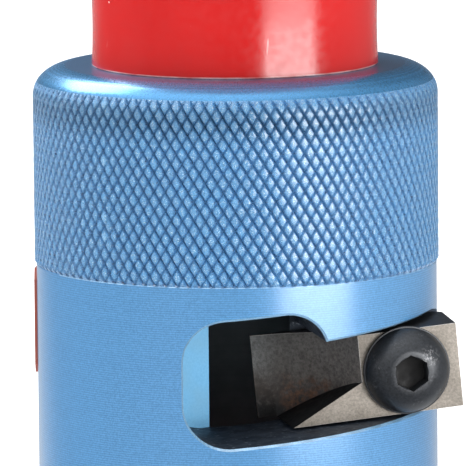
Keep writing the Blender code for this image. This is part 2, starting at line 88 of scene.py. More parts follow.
# The tilted pocket, the cutter and its screw: u runs along the pocket, s runs up across it
HELIX = radians(5.2)
POCKET_Z = 39.3
SEAT_Y = -6.8
SLOT_HALF = 5.6
WINDOW_X0, WINDOW_U1, WINDOW_TOP, WINDOW_CORNER = -11.0, 6.45, 9.45, 5.0
BLADE_BACK, BLADE_FRONT = 6.9, 16.9
BLADE_U0, BLADE_U1, BLADE_S0, BLADE_S1 = 0.4, 23.4, -5.25, 4.75
BLADE_TAIL = 0.45
SLOT_END = (23.2, 4.95)
RELIEF_U, RELIEF_KNEE_S = 11.4, -0.85
RELIEF_LOW = (2.6, -5.25)
GRIND_R = 14.0
TIP = 0.35
SCREW_U, SCREW_S, SCREW_SEAT = 16.8, 0.0, 17.0
HEAD_R, HEAD_H, HEAD_RIM = 5.25, 3.3, 0.6
SCREW_R, SCREW_PITCH, SCREW_LENGTH, THREAD_LENGTH = 3.0, 1.0, 20.0, 18.0
TAPPED_R, BLADE_HOLE_R = 3.1, 3.3
SOCKET_AF, SOCKET_DEPTH, SOCKET_TURN = 3.8, 2.1, radians(29)

# The knurl: helical grooves of both hands, cut from the crests' radius
KNURL_TEETH = 109
KNURL_STEPS = 6
KNURL_LEAD = 2.23        # height over which a groove moves by one tooth
KNURL_DEPTH = 0.40
KNURL_TOP = BODY_Z1 - 1.7
KNURL_SEED = 5
COLUMNS = KNURL_TEETH * KNURL_STEPS

FACING_OUT = Matrix.Rotation(pi / 2, 4, "X")
TILTED = Matrix.Translation((0, 0, POCKET_Z * MM)) @ Matrix.Rotation(-HELIX, 4, "Y")
SCREW_AXIS = Matrix.Translation(Vector((SCREW_U, 0, SCREW_S)) * MM) @ FACING_OUT


# ------------------------ mesh helpers

def spaced(start, end, steps):
    """Evenly spaced numbers, both ends included."""
    return [start + (end - start) * i / steps for i in range(steps + 1)]


def arc(centre, radius, start, end, steps):
    """Points on a circle between two angles, both ends included."""
    return [(centre[0] + radius * cos(a), centre[1] + radius * sin(a))
            for a in spaced(start, end, steps)]


def radial(angle, height):
    """A frame on the axis at that height whose +Z points outwards at that angle."""
    turn = Matrix.Rotation(angle, 4, "Z") @ Matrix.Rotation(pi / 2, 4, "Y")
    return Matrix.Translation((0, 0, height * MM)) @ turn


def facing_out(bm, place=None):
    """Moves bm to its place, if there is one, and turns all its faces outwards."""
    if place is not None:
        bm.transform(place)
    bmesh.ops.recalc_face_normals(bm, faces=bm.faces)
    return bm


def turned_mesh(profile, sides, place=None):
    """Rings of an outline of (radius, height) pairs, listed outside first, bottom up."""
    bm = bmesh.new()
    rings = []
    for r, z in profile:
        if r < 1e-6:
            rings.append([bm.verts.new((0, 0, z * MM))])
            continue
        rings.append([bm.verts.new((r * cos(2 * pi * i / sides) * MM,
                                    r * sin(2 * pi * i / sides) * MM, z * MM))
                      for i in range(sides)])
    pairs = list(zip(rings, rings[1:]))
    if len(rings[0]) > 1 and len(rings[-1]) > 1:
        pairs.append((rings[-1], rings[0]))
    for low, high in pairs:
        if len(low) == 1 and len(high) == 1:
            continue
        for i in range(sides):
            j = (i + 1) % sides
            corners = [low[i % len(low)], low[j % len(low)],
                       high[j % len(high)], high[i % len(high)]]
            bm.faces.new(list(dict.fromkeys(corners)))
    return facing_out(bm, place)


def prism_mesh(outline, low, high, place):
    """Closed prism over an outline of (x, y) pairs."""
    bm = bmesh.new()
    bottom = [bm.verts.new((x * MM, y * MM, low * MM)) for x, y in outline]
    top = [bm.verts.new((x * MM, y * MM, high * MM)) for x, y in outline]
    bm.faces.new(bottom)
    bm.faces.new(top)
    for i in range(len(outline)):
        j = (i + 1) % len(outline)
        bm.faces.new((bottom[i], bottom[j], top[j], top[i]))
    return facing_out(bm, place)


def add_object(name, data):
    made = bpy.data.objects.new(name, data)
    bpy.context.scene.collection.objects.link(made)
    return made


def make_object(name, bm, *looks):
    """Turns bm into an object in the scene, with those materials, and frees bm."""
    mesh = bpy.data.meshes.new(name)
    bm.to_mesh(mesh)
    bm.free()
    for look in looks:
        mesh.materials.append(MATERIALS[look])
    return add_object(name, mesh)


def cut(target, bm, *looks, operation="DIFFERENCE"):
    """Applies a Boolean of bm to target; new faces keep the cutter's material."""
    cutter = make_object("cutter", bm, *looks)
    step = target.modifiers.new("cut", "BOOLEAN")
    step.operation = operation
    step.solver = "EXACT"
    step.object = cutter
    step.material_mode = "TRANSFER"
    apply_modifiers(target)
    bpy.data.objects.remove(cutter)


def apply_modifiers(target):
    """Replaces target's mesh by what its modifiers make of it."""
    evaluated = target.evaluated_get(bpy.context.evaluated_depsgraph_get())
    mesh = bpy.data.meshes.new_from_object(evaluated)
    target.modifiers.clear()
    target.data = mesh


def round_edges(target, width, material):
    """Bevels the sharp edges, gives the new faces that material index, applies the bevel."""
    step = target.modifiers.new("edges", "BEVEL")
    step.width = width * MM
    step.segments = 2
    step.limit_method = "ANGLE"
    step.angle_limit = radians(35)
    step.use_clamp_overlap = True
    step.material = material
    apply_modifiers(target)


def finish_piece(piece, body, nodes, smooth):
    """Smooth shading, sharp past that angle in degrees, then the piece's place in the frame."""
    piece.data.shade_smooth()
    piece.data.set_sharp_from_angle(angle=radians(smooth))
    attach(piece, body)
    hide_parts(*nodes)


# ------------------------ materials

def toned(colour, gain, lift=0.0):
    """A colour made lighter or darker."""
    return tuple(min(1.0, c * gain + lift) for c in colour)


class Nodes:
    """A material's node tree with short calls for what the materials here share."""

    def __init__(self, name, colour, roughness, metallic, **constants):
        self.material = bpy.data.materials.new(name)
        self.material.use_nodes = True
        self.tree = self.material.node_tree
        self.shader = self.tree.nodes["Principled BSDF"]
        self.set(self.shader, "Base Color", (*colour, 1))
        self.set(self.shader, "Roughness", roughness)
        self.set(self.shader, "Metallic", metallic)
        for key, value in constants.items():
            socket = key.replace("_", " ").title().replace("Ior", "IOR")
            self.set(self.shader, socket, value)
        self.where = self.add("ShaderNodeTexCoord", {}).outputs["Object"]

    def set(self, node, socket, value):
        """Links an input to another node's output, or gives it a constant."""
        if isinstance(value, bpy.types.NodeSocket):
            self.tree.links.new(value, node.inputs[socket])
        else:
            node.inputs[socket].default_value = value

    def dress(self, colour, roughness, normal):
        """Gives the shader its three main inputs and returns the material."""
        self.set(self.shader, "Base Color", colour)
        self.set(self.shader, "Roughness", roughness)
        self.set(self.shader, "Normal", normal)
        return self.material

    def add(self, kind, inputs, **settings):
        """Adds a node with those settings and with each input linked or constant."""
        node = self.tree.nodes.new(kind)
        for key, value in settings.items():
            setattr(node, key, value)
        for socket, value in inputs.items():
            self.set(node, socket, value)
        return node

    def math(self, operation, a, b=0.0):
        return self.add("ShaderNodeMath", {0: a, 1: b}, operation=operation).outputs[0]

    def times(self, a, b):
        return self.math("MULTIPLY", a, b)

    def along(self, axis):
        """The position along that axis, in metres."""
        return self.add("ShaderNodeSeparateXYZ", {0: self.where}).outputs[axis]

    def noise(self, scale, detail=3.0, roughness=0.5, stretch=None):
        """3-D noise in 1/mm, optionally stretched along an axis."""
        vector = self.where
        if stretch:
            mapping = self.add("ShaderNodeMapping", {"Vector": vector, "Scale": stretch})
            vector = mapping.outputs[0]
        node = self.add("ShaderNodeTexNoise", {"Vector": vector, "Scale": scale / MM,
                                               "Detail": detail, "Roughness": roughness})
        return node.outputs["Fac"]

    def lines(self, per_mm):
        """1-D noise along the turned profile: rings on ends, hoops on cylinders."""
        inputs = {"W": self.along_profile(), "Scale": per_mm / MM, "Detail": 2.0}
        return self.add("ShaderNodeTexNoise", inputs, noise_dimensions="1D").outputs["Fac"]

    def along_profile(self):
        """Distance along a turned outline: radius plus height."""
        flat = self.add("ShaderNodeVectorMath", {0: self.where, 1: (1, 1, 0)},
                        operation="MULTIPLY")
        radius = self.add("ShaderNodeVectorMath", {0: flat.outputs[0]}, operation="LENGTH")
        return self.math("ADD", radius.outputs["Value"], self.along("Z"))

    def turning(self, pitch):
        """Tool marks of that pitch in millimetres, 0 to 1, of uneven strength."""
        phase = self.times(self.along_profile(), 2 * pi / (pitch * MM))
        wave = self.math("SINE", phase)
        strength = self.ramp(self.noise(0.5, 3.0, stretch=(1, 1, 3)), (0.3, 0.30), (0.7, 0.5))
        return self.math("ADD", self.times(wave, strength), 0.5)

    def ramp(self, fac, *stops):
        """Colour ramp; each stop is (position, colour or grey level)."""
        node = self.add("ShaderNodeValToRGB", {0: fac})
        elements = node.color_ramp.elements
        while len(elements) < len(stops):
            elements.new(0.5)
        for element, (position, colour) in zip(elements, stops):
            element.position = position
            grey = (colour,) * 3 if isinstance(colour, (int, float)) else colour
            element.color = (*grey, 1)
        return node.outputs[0]

    def mix(self, fac, a, b, blend="MIX"):
        """Mixes two colours, each a constant or another node's output."""
        a, b = [c if isinstance(c, bpy.types.NodeSocket) else (*c, 1) for c in (a, b)]
        return self.add("ShaderNodeMix", {0: fac, 6: a, 7: b},
                        data_type="RGBA", blend_type=blend).outputs[2]

    def bump(self, height, depth, strength=1.0, normal=None):
        """Bump of that depth in millimetres, on top of another one if normal is given."""
        node = self.add("ShaderNodeBump", {"Height": height, "Distance": depth * MM,
                                           "Strength": strength})
        if normal:
            self.set(node, "Normal", normal)
        return node.outputs[0]


BLUE = (0.066, 0.275, 0.56)


def anodised(name, colour, roughness, line_depth, metallic, level=0.5):
    """Anodised aluminium with turning lines, small pits and a clear oxide layer; the line
    depth is in millimetres, and level is how strongly the surface and the layer reflect."""
    n = Nodes(name, colour, roughness, metallic, coat_weight=2 * level, coat_roughness=0.2,
              coat_ior=2.1, specular_ior_level=level)
    fine = n.turning(0.27)
    cloud = n.noise(0.12, 4.0)
    darker = toned(colour, 0.72)
    shade = n.mix(fine, darker, toned(colour, 1.16, 0.01))
    grain = n.noise(4.5, 3.0, 0.7)
    shade = n.mix(n.ramp(grain, (0.34, 0.75), (0.50, 0.0)), shade, darker)
    shade = n.mix(n.ramp(grain, (0.50, 0.0), (0.66, 0.30)), shade, toned(colour, 1.5, 0.05))
    bands = n.ramp(n.lines(0.5), (0.3, 0.0), (0.7, 1.0))
    tone = n.mix(bands, (0.96, 0.97, 0.98), (1.0, 1.0, 1.0))
    shade = n.mix(1.0, shade, tone, "MULTIPLY")
    shade = n.mix(n.times(cloud, 0.25), shade, colour)
    pits = n.noise(3.0, 2.0)
    rough = n.math("ADD", n.times(pits, 0.10), roughness - 0.05)
    return n.dress(shade, rough, n.bump(pits, 0.004, 0.6, n.bump(fine, line_depth)))


def anodised_knurl():
    """The knurled band: painted shade dark in the grooves, rubbed pale on the crests, small
    painted highlights on the crests, and a darker band below the shoulder."""
    n = Nodes("anodised_knurl", BLUE, 0.42, 0.35,
              coat_weight=0.8, coat_roughness=0.28, coat_ior=1.8)
    pointed = n.add("ShaderNodeNewGeometry", {}).outputs["Pointiness"]
    grain = n.noise(5.5, 3.0, 0.75)
    patch = n.noise(0.5, 3.0)
    spread = n.times(n.math("SUBTRACT", grain, 0.5), 0.22)
    depth = n.math("ADD", pointed, spread)
    # Painted shade: dark where pointiness is low, in the grooves; the paler crests stand for
    # rubbing.
    shade = n.ramp(depth, (0.455, (0.006, 0.026, 0.095)), (0.485, (0.064, 0.235, 0.50)),
                   (0.545, (0.098, 0.355, 0.67)), (0.64, (0.22, 0.51, 0.82)))
    shade = n.mix(n.ramp(patch, (0.35, 0.35), (0.65, 0.0)), shade, (0.09, 0.25, 0.48))
    # Painted highlights: small pale sparkles on the crests.
    painted_sparkle = n.times(n.ramp(n.noise(8.0, 2.0, 0.7), (0.57, 0.0), (0.64, 1.0)),
                     n.ramp(pointed, (0.495, 0.2), (0.53, 1.0)))
    shade = n.mix(painted_sparkle, shade, (0.66, 0.84, 0.95))
    height = n.math("DIVIDE", n.along("Z"), BODY_Z1 * MM)
    band = n.ramp(height, (0.905, 1.0), (0.935, 0.74), (0.958, 0.72), (0.972, 1.0))
    shade = n.mix(1.0, shade, band, "MULTIPLY")
    return n.dress(shade, n.ramp(grain, (0.35, 0.22), (0.65, 0.46)),
                   n.bump(n.noise(7.0, 3.0, 0.75), 0.14))


def milled_floor():
    """Milled and anodised seat of the pocket: a paler blue than the body as painted light, with a
    fine even grain.
    """
    n = Nodes("anodised_milled_painted_light", (0.15, 0.42, 0.68), 0.45, 0.6,
              coat_weight=0.4, coat_roughness=0.3)
    grain = n.noise(4.0, 4.0, 0.65)
    cloud = n.ramp(n.noise(0.35, 3.0), (0.4, 0.0), (0.7, 0.5))
    shade = n.mix(n.ramp(grain, (0.35, 0.0), (0.65, 1.0)), (0.13, 0.41, 0.69), (0.19, 0.50, 0.78))
    return n.dress(n.mix(cloud, shade, (0.18, 0.42, 0.62)),
                   n.ramp(grain, (0.3, 0.38), (0.7, 0.55)), n.bump(grain, 0.01, 0.7))


def painted_shade_walls(name, low, high, dust, turned=False):
    """Surfaces deep in the pocket or bore, painted dark as shade: mottled, with scores or turned
    lines, and as much pale dust as dust says."""
    n = Nodes(name, low, 0.5, 0.2, specular_ior_level=0.3)
    shade = n.mix(n.ramp(n.noise(0.6, 4.0), (0.35, 0.0), (0.7, 1.0)), low, high)
    specks = n.ramp(n.noise(1.7, 2.0), (0.64, 0.0), (0.69, dust))
    marks = n.lines(2.5) if turned else n.noise(1.2, 3.0)
    return n.dress(n.mix(specks, shade, (0.38, 0.43, 0.50)),
                   n.ramp(marks, (0.3, 0.42), (0.7, 0.7)), n.bump(marks, 0.006))


def red_plastic():
    """Turned semi-gloss plastic with faint lines, small nicks, pale specks and a pale lip
    where it meets the head."""
    n = Nodes("red_plastic", (0.6, 0.006, 0.005), 0.28, 0.0, specular_ior_level=0.62,
              subsurface_weight=0.04, subsurface_scale=0.002)
    shade = n.mix(n.noise(0.08, 3.0), (0.47, 0.004, 0.004), (0.58, 0.008, 0.007))
    cells = n.add("ShaderNodeTexVoronoi",
                  {"Vector": n.where, "Scale": 0.42 / MM, "Randomness": 1.0}, feature="F1")
    dots = n.ramp(cells.outputs["Distance"], (0.03, 1.0), (0.06, 0.0))
    some = n.ramp(n.noise(0.35, 1.0), (0.54, 0.0), (0.60, 1.0))
    scratches = n.ramp(n.noise(0.8, 2.0, stretch=(1, 1, 0.25)), (0.74, 0.0), (0.78, 0.5))
    specks = n.math("MAXIMUM", n.times(dots, some), scratches)
    above_head = n.math("DIVIDE", n.math("SUBTRACT", n.along("Z"), BODY_Z1 * MM), MM)
    lip = n.times(n.ramp(above_head, (0.0, 1.0), (0.14, 1.0), (0.26, 0.0)),
                  n.ramp(n.noise(0.25, 3.0), (0.40, 0.25), (0.62, 0.9)))
    lip = n.times(lip, n.math("GREATER_THAN", above_head, 0.0))
    return n.dress(n.mix(n.math("MAXIMUM", specks, lip), shade, (0.95, 0.66, 0.62)),
                   n.ramp(n.noise(1.2, 4.0), (0.35, 0.16), (0.65, 0.27)),
                   n.bump(n.noise(0.9, 2.0), 0.004, 1.0, n.bump(n.lines(3.0), 0.004)))


def ground_steel(name, dark, light, roughness, metallic):
    """Surface-ground tool steel: fine mottled grain, a few scores and stains."""
    n = Nodes(name, light, roughness, metallic)
    grain = n.noise(3.6, 4.0, 0.7)
    scores = n.noise(0.9, 3.0, 0.6, stretch=(1, 1, 0.2))
    stains = n.noise(0.4, 4.0, 0.6)
    shade = n.mix(n.ramp(grain, (0.32, 0.0), (0.68, 1.0)), dark, light)
    shade = n.mix(n.ramp(stains, (0.52, 0.0), (0.75, 0.35)), shade, dark)
    shade = n.mix(n.ramp(scores, (0.66, 0.0), (0.72, 0.5)), shade, toned(dark, 0.5))
    return n.dress(shade, n.ramp(stains, (0.3, roughness - 0.06), (0.7, roughness + 0.12)),
                   n.bump(grain, 0.014, 0.8))


def hollow_ground():
    """The blade's hollow grind: painted shade from grey above to near black at its foot, brown
    heat tint below, and painted light paler towards the knee and a painted reflection at the
    upper left corner."""
    n = Nodes("hollow_ground", (0.08, 0.07, 0.065), 0.45, 0.35)
    length = 12 * MM
    wobble = n.times(n.math("SUBTRACT", n.noise(0.35, 5.0, 0.6), 0.42), 0.5)
    height = n.math("DIVIDE", n.math("SUBTRACT", n.along("Z"), 34 * MM), length)
    across = n.math("DIVIDE", n.along("X"), length)
    level = n.math("ADD", n.math("ADD", height, n.times(across, 0.10)), wobble)
    # Painted shade: grey high on the grind, darkening to near black at its foot.
    tint = n.ramp(level, (0.16, (0.022, 0.022, 0.024)), (0.34, (0.080, 0.064, 0.056)),
                  (0.50, (0.145, 0.132, 0.122)), (0.85, (0.150, 0.145, 0.140)))
    # Painted light: the grind brighter towards the knee on the right.
    lit = n.mix(1.0, tint, (2.1, 2.0, 1.95), "MULTIPLY")
    tint = n.mix(n.ramp(across, (0.35, 0.0), (0.95, 1.0)), tint, lit)
    heat = n.times(n.ramp(level, (0.12, 0.0), (0.26, 1.0), (0.36, 1.0), (0.52, 0.0)),
                   n.ramp(n.noise(0.9, 4.0, 0.65), (0.44, 0.0), (0.58, 0.9)))
    heat = n.times(heat, n.ramp(across, (0.26, 0.0), (0.42, 1.0)))
    tint = n.mix(heat, tint, (0.29, 0.135, 0.072))
    # Painted reflection: paler at the upper left corner.
    pale = n.times(n.ramp(across, (0.04, 0.7), (0.30, 0.0)),
                   n.ramp(level, (0.40, 0.0), (0.60, 1.0)))
    tint = n.mix(pale, tint, (0.185, 0.20, 0.205))
    blotches = n.noise(1.4, 4.0, 0.7)
    tint = n.mix(n.ramp(blotches, (0.36, 0.45), (0.52, 0.0)), tint, (0.045, 0.043, 0.040))
    tint = n.mix(n.ramp(blotches, (0.54, 0.0), (0.68, 0.35)), tint, (0.20, 0.195, 0.185))
    grain = n.noise(3.0, 4.0, 0.7)
    tint = n.mix(n.ramp(grain, (0.35, 0.6), (0.60, 0.0)), tint, (0.050, 0.047, 0.045))
    return n.dress(tint, n.ramp(grain, (0.3, 0.40), (0.7, 0.6)), n.bump(grain, 0.010, 0.8))


def black_oxide(name, spot=None):
    """Black oxide on screw steel, rubbed pale round a spot, which is a point in metres."""
    n = Nodes(name, (0.03, 0.031, 0.034), 0.38, 0.4, specular_ior_level=1.0)
    grain = n.noise(4.0, 4.0, 0.6)
    worn = n.times(n.ramp(n.noise(0.55, 3.0), (0.58, 0.0), (0.70, 1.0)),
                   n.ramp(grain, (0.50, 0.0), (0.62, 0.6)))
    if spot:
        away = n.add("ShaderNodeVectorMath", {0: n.where, 1: spot}, operation="DISTANCE")
        reach = 4 * MM
        near = n.ramp(n.math("DIVIDE", away.outputs["Value"], reach), (0.10, 1.0), (0.40, 0.0))
        rubbed = n.times(near, n.ramp(n.noise(3.4, 3.0), (0.50, 0.0), (0.62, 0.9)))
        worn = n.math("MAXIMUM", n.times(worn, 0.4), rubbed)
    shade = n.mix(n.ramp(grain, (0.3, 0.0), (0.7, 1.0)),
                  (0.010, 0.012, 0.015), (0.036, 0.041, 0.050))
    return n.dress(n.mix(worn, shade, (0.22, 0.22, 0.23)),
                   n.ramp(grain, (0.3, 0.30), (0.7, 0.46)), n.bump(grain, 0.006, 0.8))


def turned_metal(name, dark, light, roughness):
    """Any bare turned metal part: steel, bronze or aluminium."""
    n = Nodes(name, light, roughness, 1.0)
    fine = n.lines(2.5)
    stains = n.noise(0.25, 4.0)
    shade = n.mix(n.ramp(fine, (0.35, 0.0), (0.65, 1.0)), dark, light)
    return n.dress(n.mix(n.ramp(stains, (0.55, 0.0), (0.85, 0.5)), shade, dark),
                   n.ramp(stains, (0.3, roughness - 0.06), (0.7, roughness + 0.12)),
                   n.bump(fine, 0.006))


def label_film():
    """Plain film: dull red, cloudy, with a slight orange peel."""
    n = Nodes("label_film", (0.42, 0.09, 0.05), 0.5, 0.0)
    return n.dress(n.mix(n.noise(0.5, 4.0), (0.38, 0.07, 0.045), (0.47, 0.12, 0.07)),
                   n.ramp(n.noise(2.0), (0.3, 0.42), (0.7, 0.6)), n.bump(n.noise(1.5), 0.01))


def rubber():
    n = Nodes("rubber", (0.02, 0.02, 0.02), 0.75, 0.0)
    return n.dress(n.mix(n.noise(0.8), (0.013, 0.013, 0.014), (0.032, 0.031, 0.03)), 0.75,
                   n.bump(n.noise(2.5), 0.01))


# The rubbed patch above and to the right of the button head's socket
SCREW_SPOT = TILTED @ (MM * Vector((SCREW_U + 2.6, -SCREW_SEAT - HEAD_H, SCREW_S + 1.8)))

MATERIALS = {
    "blue": anodised("anodised_blue", BLUE, 0.36, 0.006, 0.2),
    # Painted shade: the top face is a darker, duller copy of the anodised blue.
    "top": anodised("anodised_top_painted_shade", (0.080, 0.23, 0.45), 0.36, 0.003, 0.6, 0.2),
    # Painted light: the shoulder is a lighter, more metallic copy of the anodised blue.
    "shoulder": anodised("anodised_shoulder_painted_light", (0.08, 0.32, 0.63), 0.28, 0.005, 0.62, 0.14),
    # Painted highlight: the edge break round the window is a paler blue.
    "edge": anodised("anodised_edge_painted_highlight", (0.27, 0.51, 0.76), 0.36, 0.002, 0.35),
    "knurl": anodised_knurl(),
    "floor_blue": milled_floor(),
    # Painted shade: the bore, the pocket's walls and the deepest hollows take these dark
    # materials.
    "bore": painted_shade_walls("bore_painted_shade", (0.15, 0.19, 0.21), (0.18, 0.22, 0.24), 0.0, turned=True),
    "wall": painted_shade_walls("pocket_walls_painted_shade", (0.022, 0.032, 0.050), (0.070, 0.090, 0.120), 0.45),
    # Painted shade: near black, for the grind's land wall, its low bevels and the screw's socket.
    "shadow_black": painted_shade_walls("painted_shadow_black", (0.010, 0.010, 0.011), (0.022, 0.021, 0.021), 0.0),
    "red": red_plastic(),
    "tan_steel": ground_steel("ground_steel", (0.195, 0.173, 0.146), (0.36, 0.32, 0.275),
                              0.52, 0.3),
    # Pale steel for bevels: partly wear, partly a painted highlight along the edges.
    "worn_edge_and_highlight": ground_steel("worn_edge_and_highlight", (0.58, 0.56, 0.53), (0.85, 0.83, 0.80), 0.42, 0.4),
    # Painted shade: a near black copy of the ground steel for the bar's faces other than its
    # front, and the screw's rim.
    "steel_painted_shade": ground_steel("bar_side_painted_shade", (0.03, 0.032, 0.036), (0.08, 0.08, 0.085), 0.45, 0.5),
    "hollow": hollow_ground(),
    "black": black_oxide("black_oxide"),
    "black_head": black_oxide("black_oxide_head", SCREW_SPOT),
    "steel": turned_metal("bright_steel", (0.42, 0.42, 0.43), (0.66, 0.66, 0.66), 0.26),
    "bronze": turned_metal("sintered_bronze", (0.36, 0.21, 0.09), (0.60, 0.40, 0.18), 0.40),
    "aluminium": turned_metal("turned_aluminium", (0.60, 0.60, 0.62), (0.80, 0.80, 0.81), 0.32),
    "rubber": rubber(),
    "label": label_film(),
}


# ------------------------ the head

def triangle_wave(x):
    """Distance to the nearest whole number, 0 to 0.5."""
    return abs(x - round(x))


def knurl_height(a, b):
    """0 in a groove, 1 on a crest, for the two groove families' phases; the left-handed
    grooves b are shallower than the right-handed ones a."""
    def profile(heights, phase):
        return heights[min(3, round(triangle_wave(phase) * KNURL_STEPS))]

    return min(profile((0.0, 0.88, 1.0, 1.0), a), profile((0.32, 0.93, 1.0, 1.0), b))


def shoulder_point(t):
    """(radius, height) on the rounded shoulder, from its foot at 0 to the top face at pi / 2."""
    return KNURL_R - SHOULDER_R * (1 - cos(t)), BODY_Z1 - SHOULDER_H * (1 - sin(t))


def shoulder_radius(z):
    """Radius of the head's outside at a height in the knurl or the shoulder."""
    rise = max(0.0, z - (BODY_Z1 - SHOULDER_H)) / SHOULDER_H
    return KNURL_R - SHOULDER_R * (1 - sqrt(max(0.0, 1 - rise ** 2)))


def knurl_rings():
    """(height, radius for each column) of the knurl. The grooves fade out at its top, and
    every diamond's crest is lower than full height by a small amount of its own."""
    root_r = BODY_R - 0.05
    lead_in, fade_out = 0.3, 0.5
    deepest, spread, gain = KNURL_TOP - 3.0, 2.0, 0.25
    chance = Random(KNURL_SEED)
    uneven = [[min(0.035, abs(chance.gauss(0, 0.02))) for _ in range(KNURL_TEETH)]
              for _ in range(KNURL_TEETH)]
    step = KNURL_LEAD / KNURL_STEPS
    rings = []
    for k in range(round((KNURL_TOP - KNURL_Z0) / step) + 1):
        z = KNURL_Z0 + k * step
        fade = max(0.0, min(1.0, (KNURL_TOP - z) / fade_out))
        start = min(1.0, (z - KNURL_Z0) / lead_in)
        crest = root_r + (shoulder_radius(z) - root_r) * start
        deeper = 1 + gain * max(0.0, 1 - abs(z - deepest) / spread)
        row = []
        for i in range(COLUMNS):
            a, b = (i + k) / KNURL_STEPS, (i - k) / KNURL_STEPS
            height = knurl_height(a, b)
            down = KNURL_DEPTH * deeper * (1 - height) * fade * min(1.0, start + 0.5)
            lump = uneven[floor(a) % KNURL_TEETH][floor(b) % KNURL_TEETH] * height * fade
            row.append(crest - down - lump)
        rings.append((z, row))
    return rings


def head_rings():
    """(height, radius for each column) of the head's outside and bore, in order round
    the closed outline, and the ring numbers between which the knurl lies."""
    chamfer, lip = 1.0, 0.3
    foot = [(BODY_Z0, BUSH_SEAT_R), (BODY_Z0, BODY_R - chamfer),
            (BODY_Z0 + 0.12, BODY_R - chamfer + 0.16), (BODY_Z0 + chamfer - 0.14, BODY_R - 0.08),
            (BODY_Z0 + chamfer + 0.1, BODY_R), (KNURL_Z0 - 0.30, BODY_R),
            (KNURL_Z0 - 0.16, BODY_R), (KNURL_Z0 - 0.10, BODY_R)]
    knurl = knurl_rings()
    start = asin((knurl[-1][0] - (BODY_Z1 - SHOULDER_H)) / SHOULDER_H)
    shoulder = [shoulder_point(t) for t in spaced(start, pi / 2, 16)[1:]]
    inside = [(FOOT_R + lip, BODY_Z1), (FOOT_R, BODY_Z1 - lip), (FOOT_R, FOOT_Z),
              (CHAMBER_R, FOOT_Z), (CHAMBER_R, CHAMBER_Z), (BORE_R, CHAMBER_Z),
              (BORE_R, BUSH_SEAT_Z), (BUSH_SEAT_R, BUSH_SEAT_Z)]
    rings = [*[(z, [r] * COLUMNS) for z, r in foot], *knurl,
             *[(z, [r] * COLUMNS) for r, z in shoulder + inside]]
    return rings, len(foot), len(foot) + len(knurl) - 1


def head_mesh():
    """The head as turned and knurled, before the pocket and the holes."""
    rings, first, last = head_rings()
    verts = []
    for z, row in rings:
        for i, r in enumerate(row):
            turn = 2 * pi * i / COLUMNS
            verts.append((r * cos(turn) * MM, r * sin(turn) * MM, z * MM))
    faces = []
    for k in range(len(rings)):
        up = (k + 1) % len(rings)
        for i in range(COLUMNS):
            j = (i + 1) % COLUMNS
            quad = (k * COLUMNS + i, k * COLUMNS + j, up * COLUMNS + j, up * COLUMNS + i)
            if not first <= k < last:
                faces.append(quad)
                continue
            # Split along the groove that is nearer, so that its line stays straight.
            a = (i + k - first + 1) / KNURL_STEPS
            b = (i - k + first) / KNURL_STEPS
            if triangle_wave(a) < triangle_wave(b):
                faces += [(quad[0], quad[1], quad[3]), (quad[1], quad[2], quad[3])]
            else:
                faces += [(quad[0], quad[1], quad[2]), (quad[0], quad[2], quad[3])]
    mesh = bpy.data.meshes.new("head")
    mesh.from_pydata(verts, [], faces)
    bm = bmesh.new()
    bm.from_mesh(mesh)
    bpy.data.meshes.remove(mesh)
    return facing_out(bm)


def slot_top(u):
    """Height of the slot's upper wall, which comes down a little at its open end."""
    run = 1.4
    share = max(0.0, min(1.0, (u - SLOT_END[0] + run) / run))
    return SLOT_HALF + (SLOT_END[1] - SLOT_HALF) * share


def pocket_outline(grow=0.0):
    """The chip window and the cutter's slot as one outline, in the tilted frame."""
    r = WINDOW_CORNER + grow
    low = -SLOT_HALF - grow
    right = WINDOW_U1 - WINDOW_CORNER
    left_low, left_high = [
        ((WINDOW_X0 + WINDOW_CORNER + s * sin(HELIX)) / cos(HELIX), s)
        for s in (WINDOW_CORNER - SLOT_HALF, WINDOW_TOP - WINDOW_CORNER)]
    upright = pi - HELIX
    meets_slot = asin((SLOT_HALF + grow - left_high[1]) / r)
    slot_start = right + r * cos(meets_slot)
    far, steps = 2 * BODY_R, 40
    return [
        *[(u, low) for u in spaced(left_low[0], far, steps)],
        *[(u, slot_top(u) + grow) for u in spaced(far, slot_start, steps)[:-1]],
        *arc((right, left_high[1]), r, meets_slot, pi / 2, 20),
        *[(u, left_high[1] + r) for u in spaced(right, left_high[0], steps)[1:-1]],
        *arc(left_high, r, pi / 2, upright, 20),
        *arc(left_low, r, upright, 1.5 * pi, 20)[:-1],
    ]


def pocket_cutter():
    """Pocket with walls straight out of the window and a small edge break all round."""
    edge = 0.26
    inner, outer = pocket_outline(), pocket_outline(edge)

    def surface(point):
        """Distance in front of the axis of the head's surface at (u, s)."""
        x = point[0] * cos(HELIX) - point[1] * sin(HELIX)
        return sqrt(max(BODY_R ** 2 - x ** 2, 0.0))

    def edge_foot(point):
        """Where the edge break starts; it is deeper where the surface turns away."""
        out = surface(point)
        return max(out - edge / max(out / BODY_R, 0.35), -SEAT_Y + 0.3)

    rings = [
        [(p, -SEAT_Y) for p in inner],
        [(p, edge_foot(q)) for p, q in zip(inner, outer)],
        [(q, max(surface(q), -SEAT_Y + 0.6)) for q in outer],
        [(q, 2 * BODY_R) for q in outer],
    ]
    bm = bmesh.new()
    made = [[bm.verts.new((u * MM, s * MM, out * MM)) for (u, s), out in ring] for ring in rings]
    bm.faces.new(made[0])
    bm.faces.new(made[-1])
    count = len(inner)
    for low, high in zip(made, made[1:]):
        for i in range(count):
            j = (i + 1) % count
            bm.faces.new((low[i], low[j], high[j], high[i]))
    return facing_out(bm, TILTED @ FACING_OUT)


HEAD_LOOKS = ("blue", "knurl", "floor_blue", "bore", "wall", "top", "shoulder", "edge")


